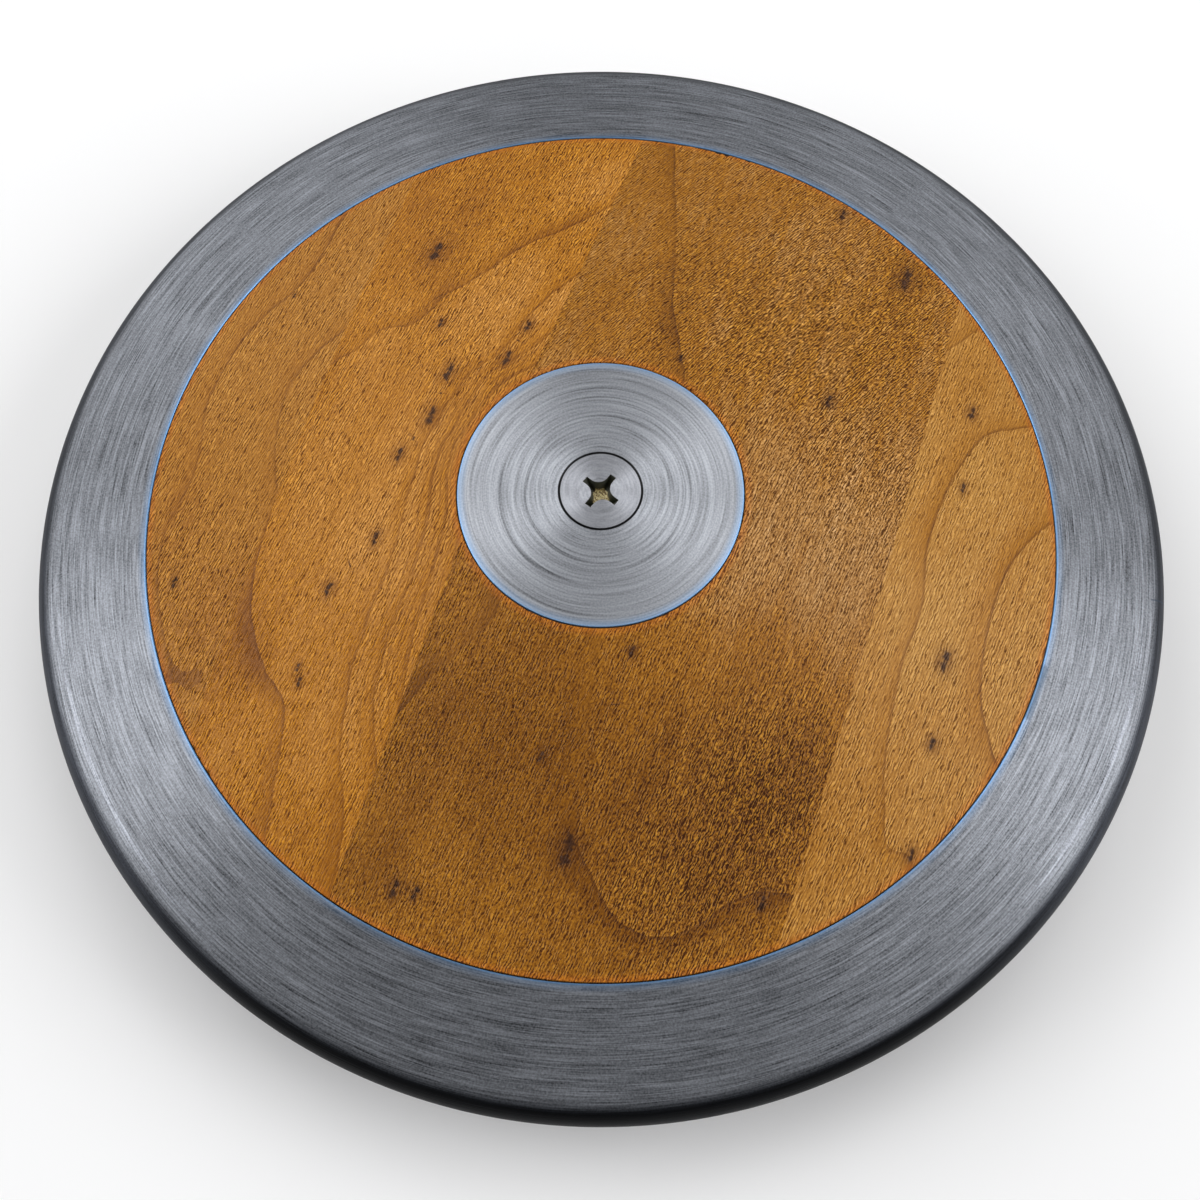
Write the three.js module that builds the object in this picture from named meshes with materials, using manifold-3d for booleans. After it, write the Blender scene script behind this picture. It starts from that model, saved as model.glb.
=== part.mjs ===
// A throwing discus of the men's 2 kg size: a steel rim, two wooden sides and flush centre plates.
// Millimetres, +Z up. It lies flat with its origin at the centre of its lower plate's outer face.
// Sizes are in snake_case. Each half is drawn from the mid-plane, so both sides are the same.

import * as THREE from "three";
import { mergeVertices } from "three/addons/utils/BufferGeometryUtils.js";
import Module from "manifold-3d";

const wasm = await Module();
wasm.setup();

// The whole disc
const disc_diameter = 220;
const disc_thickness = 45;
const edge_radius = 6.25;
const rim_width = 23.2;
const plate_diameter = 52.7;

// The rim's hidden inside
const web_reach = 13.8;
const web_thickness = 3;
const cheek_thickness = 3.5;
const groove_depth = 10.6;

// The centre
const plate_thickness = 4;
const screw_head_diameter = 15;
const screw_shank_diameter = 8;
const screw_length = 16;
const screw_tip_chamfer = 0.8;
const sleeve_diameter = 14;
const sleeve_chamfer = 0.8;

// The cross recess in each screw head
const recess_span = 7.5;
const recess_wing_width = 1.25;
const recess_core_diameter = 3.5;
const recess_depth = 3;
const recess_turn = THREE.MathUtils.degToRad(-19.2);
const recess_bottom_share = 0.68;

// Clearances
const seam_clearance = 0.3;
const sleeve_end_clearance = 0.5;
const cut_overrun = 1;

// Where the glued joints between the boards stand, as shares of the wood's radius from the centre
const board_joint_shares = [-0.7, -0.206, 0.616];

// Steps round a full turn, and along each arc
const rim_steps = 120;
const plate_steps = 72;
const screw_steps = 48;
const edge_arc_steps = 7;
const recess_arc_steps = 6;

// Sizes that follow from those above
const half_thickness = disc_thickness / 2;
const disc_radius = disc_diameter / 2;
const plate_radius = plate_diameter / 2;
const rim_bore_radius = disc_radius - rim_width;
const wood_radius = rim_bore_radius - seam_clearance;
const web_half = web_thickness / 2;
const web_inner_radius = rim_bore_radius - web_reach;
const plate_floor = half_thickness - plate_thickness;
const screw_head_radius = screw_head_diameter / 2;
const screw_shank_radius = screw_shank_diameter / 2;
const screw_hole_radius = screw_shank_radius + seam_clearance;
const head_depth = screw_head_radius - screw_shank_radius;
const sleeve_radius = sleeve_diameter / 2;
const sleeve_bore_radius = sleeve_radius + seam_clearance;

// The finishes: each steel piece's colour, and each board's from left to right
const steel_roughness = 0.4;
const wood_roughness = 0.65;
const rim_colour = 0x9a9ea8;
const plate_colour = 0x9c9da3;
const screw_colour = 0xa2a3aa;
const sleeve_colour = 0x6f7074;
const board_colours = [0xb5783a, 0xa96c34, 0x7a4a26, 0xb98648];

function steel(colour) {
  return new THREE.MeshStandardMaterial({ color: colour, roughness: steel_roughness, metalness: 1 });
}

function wood(colour) {
  return new THREE.MeshStandardMaterial({ color: colour, roughness: wood_roughness, metalness: 0 });
}

// The side is a straight taper from the plate's edge to the round edge, which it meets without a
// corner: at the point where they meet, the taper is square to the edge arc's own radius.
function taperEnd() {
  const arc_centre = disc_radius - edge_radius;
  const run = plate_radius - arc_centre;
  const reach = Math.hypot(run, half_thickness);
  const angle = Math.atan2(half_thickness, run) - Math.acos(edge_radius / reach);
  const radius = arc_centre + edge_radius * Math.cos(angle);
  return { angle, radius, height: edge_radius * Math.sin(angle), arc_centre };
}

const taper = taperEnd();
const taper_slope = (half_thickness - taper.height) / (taper.radius - plate_radius);

// The height of the tapered face above the mid-plane, at a distance from the axis.
function faceHeight(radius) {
  return half_thickness - taper_slope * (radius - plate_radius);
}

// Keeps only the corners and faces of a geometry, with shared corners merged.
function bare(geometry) {
  geometry.deleteAttribute("normal");
  geometry.deleteAttribute("uv");
  return mergeVertices(geometry);
}

// Turns a profile of [distance from the axis, height] pairs about the vertical axis.
function revolved(profile, steps) {
  const points = profile.map(([radius, height]) => new THREE.Vector2(radius, height));
  const geometry = new THREE.LatheGeometry(points, steps);
  geometry.rotateX(Math.PI / 2);
  return bare(geometry);
}

function solidOf(geometry) {
  const vertProperties = new Float32Array(geometry.attributes.position.array);
  const triVerts = new Uint32Array(geometry.index.array);
  return new wasm.Manifold(new wasm.Mesh({ numProp: 3, vertProperties, triVerts }));
}

function geometryOf(solid) {
  const mesh = solid.getMesh();
  const geometry = new THREE.BufferGeometry();
  geometry.setAttribute("position", new THREE.BufferAttribute(mesh.vertProperties, 3));
  geometry.setIndex(new THREE.BufferAttribute(mesh.triVerts, 1));
  return geometry;
}

function closedLoop(points) {
  return [...points, points[0]];
}

// One half of the rim's section, from the web's tip to the nose of the round edge. Two grooves part
// the web from the cheeks, whose walls are of one thickness, and leave the weight in the edge.
function rimHalfSection() {
  const groove_end = rim_bore_radius + groove_depth;
  const cheek_drop = cheek_thickness * Math.hypot(1, taper_slope);
  const points = [
    [web_inner_radius, web_half],
    [groove_end, web_half],
    [groove_end, faceHeight(groove_end) - cheek_drop],
    [rim_bore_radius, faceHeight(rim_bore_radius) - cheek_drop],
    [rim_bore_radius, faceHeight(rim_bore_radius)],
  ];
  for (let step = 0; step <= edge_arc_steps; step += 1) {
    const angle = taper.angle * (1 - step / edge_arc_steps);
    points.push([taper.arc_centre + edge_radius * Math.cos(angle), edge_radius * Math.sin(angle)]);
  }
  return points;
}

// The whole section runs out along the lower half and back along the upper one.
function makeRim() {
  const upper = rimHalfSection();
  const lower = upper.slice(0, -1).map(([radius, height]) => [radius, -height]);
  return revolved(closedLoop([...lower, ...upper.reverse()]), rim_steps);
}

// A whole side before it is parted into boards. Its rebate fits over the web, and it is bored for
// the sleeve and recessed for the plate.
function sideBlank() {
  const rebate_radius = web_inner_radius - seam_clearance;
  const recess_radius = plate_radius + seam_clearance;
  const section = closedLoop([
    [sleeve_bore_radius, 0],
    [rebate_radius, 0],
    [rebate_radius, web_half],
    [wood_radius, web_half],
    [wood_radius, faceHeight(wood_radius)],
    [recess_radius, faceHeight(recess_radius)],
    [recess_radius, plate_floor],
    [sleeve_bore_radius, plate_floor],
  ]);
  return solidOf(revolved(section, rim_steps));
}

// The space that one board takes out of the side, between two upright joint planes.
function boardSpace(left, right) {
  const length = 2 * (wood_radius + cut_overrun);
  const box = new THREE.BoxGeometry(right - left, length, disc_thickness);
  box.translate((left + right) / 2, 0, 0);
  return solidOf(bare(box));
}

// The side's boards from left to right, with the grain along Y.
function makeBoards() {
  const joints = board_joint_shares.map((share) => share * wood_radius);
  const outer = wood_radius + cut_overrun;
  const planes = [-outer, ...joints, outer];
  const blank = sideBlank();
  return board_colours.map((_, number) => {
    return geometryOf(blank.intersect(boardSpace(planes[number], planes[number + 1])));
  });
}

// A disc with a conical seat for the screw's head, and a short round hole under it.
function makePlate() {
  const section = closedLoop([
    [screw_hole_radius, plate_floor],
    [plate_radius, plate_floor],
    [plate_radius, half_thickness],
    [screw_head_radius + seam_clearance, half_thickness],
    [screw_hole_radius, half_thickness - head_depth],
  ]);
  return revolved(section, plate_steps);
}

// One quarter of the recess's outline: a wing's square end, then a hollow flank that runs into the
// sides of two wings and comes as near to the centre as the core's radius.
function recessQuarter(turn) {
  const half_width = recess_wing_width / 2;
  const flank_centre = (recess_core_diameter / 2 - half_width) / (Math.SQRT2 - 1);
  const flank_radius = flank_centre - half_width;
  const reach = recess_span / 2;
  const points = [new THREE.Vector2(reach, -half_width), new THREE.Vector2(reach, half_width)];
  for (let step = 0; step <= recess_arc_steps; step += 1) {
    const angle = -Math.PI / 2 - (step / recess_arc_steps) * (Math.PI / 2);
    const flank_x = flank_centre + flank_radius * Math.cos(angle);
    const flank_y = flank_centre + flank_radius * Math.sin(angle);
    points.push(new THREE.Vector2(flank_x, flank_y));
  }
  return points.map((point) => point.rotateAround(new THREE.Vector2(), turn));
}

function recessOutline() {
  const quarters = [0, 1, 2, 3].map((quarter) => recessQuarter((quarter * Math.PI) / 2 + recess_turn));
  return quarters.flat();
}

// A closed solid between one outline and a smaller copy of it further down.
function taperedPlug(outline, top, bottom, bottom_share) {
  const count = outline.length;
  const upper = outline.flatMap((point) => [point.x, point.y, top]);
  const lower = outline.flatMap((point) => [point.x * bottom_share, point.y * bottom_share, bottom]);
  const faces = [];
  for (const [a, b, c] of THREE.ShapeUtils.triangulateShape(outline, [])) {
    faces.push(a, b, c, count + c, count + b, count + a);
  }
  for (let corner = 0; corner < count; corner += 1) {
    const next = (corner + 1) % count;
    faces.push(corner, count + corner, next, next, count + corner, count + next);
  }
  const geometry = new THREE.BufferGeometry();
  geometry.setAttribute("position", new THREE.Float32BufferAttribute([...upper, ...lower], 3));
  geometry.setIndex(faces);
  return solidOf(geometry);
}

// The recess's cutter has its outline at the head's face and runs on above it at the same slope.
function recessCutter() {
  const wall_gain_share = (1 - recess_bottom_share) * (cut_overrun / recess_depth);
  const top_share = 1 + wall_gain_share;
  const top_outline = recessOutline().map((point) => point.multiplyScalar(top_share));
  const top = half_thickness + cut_overrun;
  const bottom = half_thickness - recess_depth;
  return taperedPlug(top_outline, top, bottom, recess_bottom_share / top_share);
}

// A countersunk machine screw, faced off flush with the plate.
function makeScrew() {
  const tip = half_thickness - screw_length;
  const section = [
    [0, tip],
    [screw_shank_radius - screw_tip_chamfer, tip],
    [screw_shank_radius, tip + screw_tip_chamfer],
    [screw_shank_radius, half_thickness - head_depth],
    [screw_head_radius, half_thickness],
    [0, half_thickness],
  ];
  const blank = solidOf(revolved(section, screw_steps));
  return geometryOf(blank.subtract(recessCutter()));
}

// The tapped sleeve that both screws run into. It is a little shorter than the room between the
// plates, so the screws can draw them tight.
function makeSleeve() {
  const end = plate_floor - sleeve_end_clearance;
  const section = closedLoop([
    [screw_hole_radius, -end + sleeve_chamfer],
    [screw_hole_radius + sleeve_chamfer, -end],
    [sleeve_radius - sleeve_chamfer, -end],
    [sleeve_radius, -end + sleeve_chamfer],
    [sleeve_radius, end - sleeve_chamfer],
    [sleeve_radius - sleeve_chamfer, end],
    [screw_hole_radius + sleeve_chamfer, end],
    [screw_hole_radius, end - sleeve_chamfer],
  ]);
  return revolved(section, screw_steps);
}

function named(name, geometry, finish) {
  const shown = geometry.toNonIndexed();
  shown.computeVertexNormals();
  const mesh = new THREE.Mesh(shown, finish);
  mesh.name = name;
  return mesh;
}

// One face of the discus: its four boards, its plate and its screw.
function makeFace(name) {
  const face = new THREE.Group();
  makeBoards().forEach((board, number) => {
    face.add(named(`${name}_board_${number + 1}`, board, wood(board_colours[number])));
  });
  face.add(named(`${name}_plate`, makePlate(), steel(plate_colour)));
  face.add(named(`${name}_screw`, makeScrew(), steel(screw_colour)));
  return face;
}

const discus = new THREE.Group();
discus.name = "discus";
discus.add(named("rim", makeRim(), steel(rim_colour)));
discus.add(named("core_sleeve", makeSleeve(), steel(sleeve_colour)));
discus.add(makeFace("upper"));

// The lower face is the upper one turned over about the grain, which staggers their glued joints.
const lower_face = makeFace("lower");
lower_face.rotation.y = Math.PI;
discus.add(lower_face);
discus.position.z = half_thickness;

export default discus;
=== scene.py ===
import bmesh
import bpy
import numpy as np
from mathutils import Matrix, Vector


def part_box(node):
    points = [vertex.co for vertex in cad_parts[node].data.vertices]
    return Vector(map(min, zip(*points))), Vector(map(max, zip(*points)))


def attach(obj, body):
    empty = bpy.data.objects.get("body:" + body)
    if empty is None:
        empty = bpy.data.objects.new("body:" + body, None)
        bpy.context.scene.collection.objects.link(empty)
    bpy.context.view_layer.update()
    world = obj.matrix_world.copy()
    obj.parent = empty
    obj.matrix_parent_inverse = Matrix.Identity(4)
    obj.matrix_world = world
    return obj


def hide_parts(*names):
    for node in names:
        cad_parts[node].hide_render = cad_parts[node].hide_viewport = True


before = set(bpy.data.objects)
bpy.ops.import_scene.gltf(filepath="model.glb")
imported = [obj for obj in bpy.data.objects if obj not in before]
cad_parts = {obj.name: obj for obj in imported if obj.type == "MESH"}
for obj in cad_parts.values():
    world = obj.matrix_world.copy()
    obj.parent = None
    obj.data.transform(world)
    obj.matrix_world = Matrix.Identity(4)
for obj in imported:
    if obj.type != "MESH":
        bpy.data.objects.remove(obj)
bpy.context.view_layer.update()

MM = 0.001


# The view. The camera of the photograph looks down steeply from the side towards which the grain
# leans, from about 0.29 m. The outlines of the disc, the wood, the plate and the screw gave it.
view_distance = 292.213 * MM
view_elevation = np.radians(67.971)
view_azimuth = np.radians(20.0)
view_roll = np.radians(-0.474)
view_aim = Vector((-0.235, -13.289, 0.0)) * MM
view_lens = 44.284
view_sensor = 36.0

rim_low, rim_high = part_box("rim")
mid_height = (rim_low.z + rim_high.z) / 2
middle = (0.0, 0.0, mid_height)


def camera_placing():
    """The camera's matrix: it stands at the view's distance from the disc's middle and looks at the
    aim point of the mid-plane, and its frame is rolled about the line of sight."""
    level = np.cos(view_elevation)
    back = Vector((np.sin(view_azimuth) * level, -np.cos(view_azimuth) * level, np.sin(view_elevation)))
    place = Vector(middle) + back * view_distance
    aim = Vector(middle) + Matrix.Rotation(view_azimuth, 3, "Z") @ view_aim
    behind = (place - aim).normalized()
    right = Vector((0.0, 0.0, 1.0)).cross(behind).normalized()
    up = behind.cross(right)
    cosine, sine = np.cos(view_roll), np.sin(view_roll)
    columns = (cosine * right + sine * up, cosine * up - sine * right, behind, place)
    rows = [[column[axis] for column in columns] for axis in range(3)]
    return Matrix([*rows, [0.0, 0.0, 0.0, 1.0]])


view = bpy.data.cameras.new("view")
view.lens = view_lens
view.sensor_width = view_sensor
camera = bpy.data.objects.new("camera", view)
camera.matrix_world = camera_placing()
bpy.context.scene.collection.objects.link(camera)
bpy.context.scene.camera = camera
bpy.context.scene.view_settings.view_transform = "Standard"


# The rim, a steel ring, rolled, welded and turned all over: straight tapered faces, a round edge,
# and a web inside between two grooves, over which the wooden sides fit. The lathe leaves fine rings
# on the faces, and the round edge is given a painted dark reflection.
disc_radius = rim_high.x
edge_radius = 6.25 * MM
half_thickness = 22.5 * MM
plate_radius = 26.35 * MM
rim_bore_radius = 86.8 * MM
web_inner_radius = 73.0 * MM
web_half = 1.5 * MM
groove_end_radius = 97.4 * MM
cheek_thickness = 3.5 * MM
lip_break = 0.12 * MM
rim_face_steps, rim_edge_steps, rim_turns = 5, 18, 1440
sharp_angle = np.radians(30.0)

edge_centre_radius = disc_radius - edge_radius
taper_run = plate_radius - edge_centre_radius
middle_to_centre = np.hypot(taper_run, half_thickness)
taper_angle = np.arctan2(half_thickness, taper_run) - np.arccos(edge_radius / middle_to_centre)
taper_end_radius = edge_centre_radius + edge_radius * np.cos(taper_angle)
taper_end_height = edge_radius * np.sin(taper_angle)
taper_slope = (half_thickness - taper_end_height) / (taper_end_radius - plate_radius)


def face_height(radius):
    """The tapered face's height above the mid-plane: it falls evenly from the plate's edge outwards."""
    return half_thickness - taper_slope * (radius - plate_radius)


def rim_section():
    """The rim's section as rows of (radius, height), once round: up over the upper half from the
    web's tip to the nose of the edge, then back along the same heights below the mid-plane."""
    cheek_drop = cheek_thickness * np.hypot(1, taper_slope)
    inside = np.array([
        [web_inner_radius, web_half],
        [groove_end_radius, web_half],
        [groove_end_radius, face_height(groove_end_radius) - cheek_drop],
        [rim_bore_radius, face_height(rim_bore_radius) - cheek_drop],
        [rim_bore_radius, face_height(rim_bore_radius) - lip_break],
    ])
    across = np.linspace(rim_bore_radius + lip_break, taper_end_radius, rim_face_steps)
    face = np.column_stack([across, face_height(across)])
    turn = taper_angle * (1 - np.arange(1, rim_edge_steps + 1) / rim_edge_steps)
    edge = np.column_stack([edge_centre_radius + edge_radius * np.cos(turn), edge_radius * np.sin(turn)])
    upper = np.concatenate([inside, face, edge])
    lower = upper[-2::-1] * [1, -1]
    return np.concatenate([upper, lower])


def even_angles(turns):
    """Angles at even steps, once round the axis."""
    return np.arange(turns) * 2 * np.pi / turns


def rings_about_axis(rings, angle):
    """Rings of a radius r and a height h, which may change with the angle a, as rows of points
    (r cos a, r sin a, h). The heights count from the mid-plane."""
    parts = np.array([[part + 0 * angle for part in ring] for ring in rings])
    radius, height = parts.transpose(1, 0, 2)
    return np.stack([radius * np.cos(angle), radius * np.sin(angle), height], -1)


def ring_faces(rings, turns, closed):
    """Four-cornered faces between each ring of points and the next, and also between the last ring
    and the first where the section closes on itself. They face out where the section runs inwards
    over the top, so that it goes round the solid counter-clockwise as seen with the axis on the left."""
    ring = np.arange(rings if closed else rings - 1)[:, None]
    here = np.arange(turns)[None, :]
    beside = (here + 1) % turns
    onward = (ring + 1) % rings
    corners = [ring * turns + here, onward * turns + here, onward * turns + beside, ring * turns + beside]
    return np.stack(np.broadcast_arrays(*corners), -1).reshape(-1, 4)


def running_length(section):
    """How far each point of a section lies along it from the first, in millimetres."""
    steps = np.hypot(*np.diff(section, axis=0).T)
    return np.concatenate([[0.0], np.cumsum(steps)]) / MM


def placed_piece(mesh, finish):
    """Puts a mesh into a new object at the origin, shaded smooth but for its sharp edges."""
    mesh.shade_smooth()
    mesh.set_sharp_from_angle(angle=sharp_angle)
    mesh.materials.append(finish)
    piece = bpy.data.objects.new(mesh.name, mesh)
    bpy.context.scene.collection.objects.link(piece)
    return piece


def new_piece(name, points, faces, finish):
    """A new object of points and faces, with its material."""
    mesh = bpy.data.meshes.new(name)
    mesh.from_pydata(points.reshape(-1, 3).tolist(), [], faces)
    mesh.validate()
    return placed_piece(mesh, finish)


def keep_values(piece, name, values):
    """Keeps one number for each of the piece's points under a name that its material can read."""
    kept = piece.data.attributes.new(name, "FLOAT", "POINT")
    kept.data.foreach_set("value", np.ascontiguousarray(values, np.float32).ravel())


def feed_inputs(tree, node, feeds):
    """Gives a node's named inputs their values, or the outputs of other nodes."""
    for socket, source in feeds.items():
        if isinstance(source, bpy.types.NodeSocket):
            tree.links.new(source, node.inputs[socket])
        else:
            node.inputs[socket].default_value = source


def add_node(tree, kind, feeds=None, **settings):
    """Adds a node with its own settings and what its inputs are given."""
    node = tree.nodes.new(kind)
    for setting, value in settings.items():
        setattr(node, setting, value)
    feed_inputs(tree, node, feeds or {})
    return node


def maths(tree, operation, *values):
    """A sum on one, two or three values."""
    return add_node(tree, "ShaderNodeMath", dict(enumerate(values)), operation=operation).outputs[0]


def times(tree, first, *others):
    """The product of two or more values."""
    for other in others:
        first = maths(tree, "MULTIPLY", first, other)
    return first


def ramped(tree, value, start, end, low=0.0, high=1.0):
    """Goes smoothly from low to high while the value goes from start to end."""
    feeds = {"Value": value, "From Min": start, "From Max": end, "To Min": low, "To Max": high}
    return add_node(tree, "ShaderNodeMapRange", feeds, interpolation_type="SMOOTHSTEP").outputs[0]


def mixed(tree, share, first, second, blend="MIX"):
    """Mixes two colours: the share of the second one runs from 0 to 1."""
    feeds = {0: share, 6: first, 7: second}
    return add_node(tree, "ShaderNodeMix", feeds, data_type="RGBA", blend_type=blend).outputs[2]


def vector_maths(tree, operation, *vectors):
    """A sum on one, two or three vectors."""
    return add_node(tree, "ShaderNodeVectorMath", dict(enumerate(vectors)), operation=operation).outputs


def stacked(tree, x, y, z):
    """Three values as one vector."""
    return add_node(tree, "ShaderNodeCombineXYZ", {"X": x, "Y": y, "Z": z}).outputs[0]


def clouded(tree, vector, scale, detail=2.0, roughness=0.5):
    """Noise from 0 to 1 on a vector."""
    feeds = {"Vector": vector, "Scale": scale, "Detail": detail, "Roughness": roughness}
    return add_node(tree, "ShaderNodeTexNoise", feeds).outputs[0]


def shown_colour(red, green, blue):
    """A colour as a screen shows it, in steps of 255, turned into the amounts of light it stands for."""
    share = np.array([red, green, blue]) / 255
    light = np.where(share <= 0.04045, share / 12.92, ((share + 0.055) / 1.055) ** 2.4)
    return (*light.tolist(), 1.0)


def new_group(name, inputs):
    """A shared effect. Each input has a name, a kind and a value, and out come a colour, a roughness
    and a height."""
    group = bpy.data.node_groups.new(name, "ShaderNodeTree")
    kinds = {"number": "NodeSocketFloat", "colour": "NodeSocketColor", "vector": "NodeSocketVector"}
    for socket, kind, value in inputs:
        made = group.interface.new_socket(socket, in_out="INPUT", socket_type=kinds[kind])
        made.default_value = value
    for socket, kind in (("Colour", "colour"), ("Roughness", "number"), ("Height", "number")):
        group.interface.new_socket(socket, in_out="OUTPUT", socket_type=kinds[kind])
    return group, add_node(group, "NodeGroupInput").outputs


def object_place(tree):
    """The place on the object, in metres."""
    return add_node(tree, "ShaderNodeTexCoord").outputs["Object"]


def parts_of(tree, vector):
    """A vector's x, y and z."""
    return add_node(tree, "ShaderNodeSeparateXYZ", {0: vector}).outputs


def axis_distance(tree, parts):
    """How far the place (x, y, z) is from the disc's axis, in millimetres: the root of x² + y²."""
    square = maths(tree, "MULTIPLY_ADD", parts[0], parts[0], times(tree, parts[1], parts[1]))
    return times(tree, maths(tree, "SQRT", square), 1 / MM)


# What the lathe leaves: the share of its coarse rings and of the steel's own grain beside the fine
# rings, the grain's spots in a metre, and where in the noise a deeper scratch begins and is whole.
coarse_share, steel_grain_share, steel_grain_scale = 0.28, 0.6, 2800.0
scratch_from, scratch_to = 0.68, 0.80
ring_values = ("Fine Rings", "Coarse Rings", "Round", "Contrast", "Scratches")


def turning_marks():
    """The rings that a lathe tool leaves: noise that changes fast across the section and slowly round
    the axis, in a fine and a coarse size, with a few deeper scratches and the steel's own grain."""
    numbers = ("Across", *ring_values, "Roughness")
    group, given = new_group("turning_marks", [
        *[(name, "number", 1.0) for name in numbers], ("Colour", "colour", (0.6, 0.6, 0.6, 1.0))])
    place = object_place(group)
    parts = parts_of(group, place)
    radius = times(group, maths(group, "MAXIMUM", axis_distance(group, parts), 0.5), MM)
    around = [times(group, maths(group, "DIVIDE", part, radius), given["Round"]) for part in parts[:2]]

    def rings(rings_per_mm, round_share, detail):
        """Noise about nought, with so many spots in a millimetre across, and so fast a change round
        the axis."""
        across = times(group, given["Across"], rings_per_mm)
        vector = stacked(group, across, *[times(group, part, round_share) for part in around])
        return maths(group, "SUBTRACT", clouded(group, vector, 1.0, detail, 0.6), 0.5)

    fine = rings(given["Fine Rings"], 3.0, 1.0)
    coarse = rings(given["Coarse Rings"], 0.6, 1.0)
    rare = rings(times(group, given["Fine Rings"], 0.6), 1.0, 0.0)
    scratch = ramped(group, rare, scratch_from - 0.5, scratch_to - 0.5)
    grain = maths(group, "SUBTRACT", clouded(group, place, steel_grain_scale, 1.0), 0.5)
    spread = maths(group, "ADD", fine, times(group, coarse, coarse_share))
    spread = maths(group, "MULTIPLY_ADD", grain, steel_grain_share, spread)
    shade = maths(group, "MULTIPLY_ADD", spread, given["Contrast"], 1.0)
    shade = maths(group, "SUBTRACT", shade, times(group, scratch, given["Scratches"]))
    colour = mixed(group, 1.0, given["Colour"], stacked(group, shade, shade, shade), "MULTIPLY")
    rough = maths(group, "MULTIPLY_ADD", spread, 0.12, given["Roughness"])
    height = maths(group, "SUBTRACT", spread, times(group, scratch, 0.6))
    add_node(group, "NodeGroupOutput", {"Colour": colour, "Roughness": rough, "Height": height})
    return group


marks_group = turning_marks()


def new_finish(name):
    """An empty material with one Principled shader, and the tree that it is built in."""
    finish = bpy.data.materials.new(name)
    finish.use_nodes = True
    tree = finish.node_tree
    tree.nodes.clear()
    shader = add_node(tree, "ShaderNodeBsdfPrincipled")
    add_node(tree, "ShaderNodeOutputMaterial", {"Surface": shader.outputs[0]})
    return finish, tree, shader


def kept_values(tree, name, output="Fac"):
    """Reads back what the mesh keeps under a name."""
    return add_node(tree, "ShaderNodeAttribute", attribute_name=name).outputs[output]


# A quarter turn lays each highlight across the rings.
across_rings = 0.25
turned_roughness = 0.42


def turned_steel(name, colour, anisotropy, rings, bump_depth):
    """Turned steel: the tool's rings change its colour, roughness and height a little, and the
    circular scratches draw each highlight out across them. The rings are given as how many fine and
    coarse ones there are in a millimetre, how fast they change round the axis, their contrast, and
    how dark the scratches are."""
    finish, tree, shader = new_finish(name)
    marks = add_node(tree, "ShaderNodeGroup", node_tree=marks_group)
    steel = {"Across": kept_values(tree, "across"), "Colour": colour, "Roughness": turned_roughness}
    feed_inputs(tree, marks, {**steel, **dict(zip(ring_values, rings))})
    ridges = {"Strength": 1.0, "Distance": bump_depth, "Height": marks.outputs["Height"]}
    bump = add_node(tree, "ShaderNodeBump", ridges)
    feed_inputs(tree, shader, {
        "Base Color": marks.outputs["Colour"], "Roughness": marks.outputs["Roughness"], "Metallic": 1.0,
        "Anisotropic": anisotropy, "Anisotropic Rotation": across_rings, "Normal": bump.outputs[0],
    })
    return finish, tree, shader, marks


rim_bump = 0.018 * MM
rim_grey = shown_colour(125, 128, 134)
# Colours of the painted dark reflection on the round edge, and of its darkest part towards the camera.
dark_reflection_grey = shown_colour(116, 118, 124)
darkest_reflection_grey = shown_colour(34, 36, 40)
lip_blue = shown_colour(120, 170, 222)
worn_grey = shown_colour(58, 70, 84)
# The gain of the painted highlight on the shoulder.
painted_highlight_gain = (1.45, 1.45, 1.47, 1.0)

# Where the rim is tinted, worn or painted with light and shade, in millimetres: radii, widths, places
# along the grain, and how far towards the camera's side. The nick runs slantwise across the edge.
lip_width, lip_haze_width = 0.6, 1.8
dark_reflection_band = (105.9, 107.8)
# Towards the camera, where the painted dark reflection on the edge is darkest.
camera_side_bearing = np.radians(-70.0)
dark_reflection_side, dark_reflection_edge = (62.0, 95.0), (106.8, 108.2)
# Where the shoulder carries a painted highlight.
highlight_shoulder = (103.9, 105.3)
flank_rise, flank_fall = (15.0, 45.0), (60.0, 85.0)
worn_patch, worn_patch_reach = (-11.8, 0.2), 88.1
nick_at, nick_slope, nick_half, nick_radius = 21.2, 0.36, 0.22, 107.0
nick_start = (105.4, 106.2)


def falling(tree, value, start, end, high=1.0):
    """Goes smoothly down to nought while the value goes from start to end."""
    return ramped(tree, value, start, end, high, 0.0)


def within(tree, value, start, end, soft):
    """One while the value is between start and end, and softly nought beyond."""
    return times(tree, ramped(tree, value, start, start + soft), falling(tree, value, end - soft, end))


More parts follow.
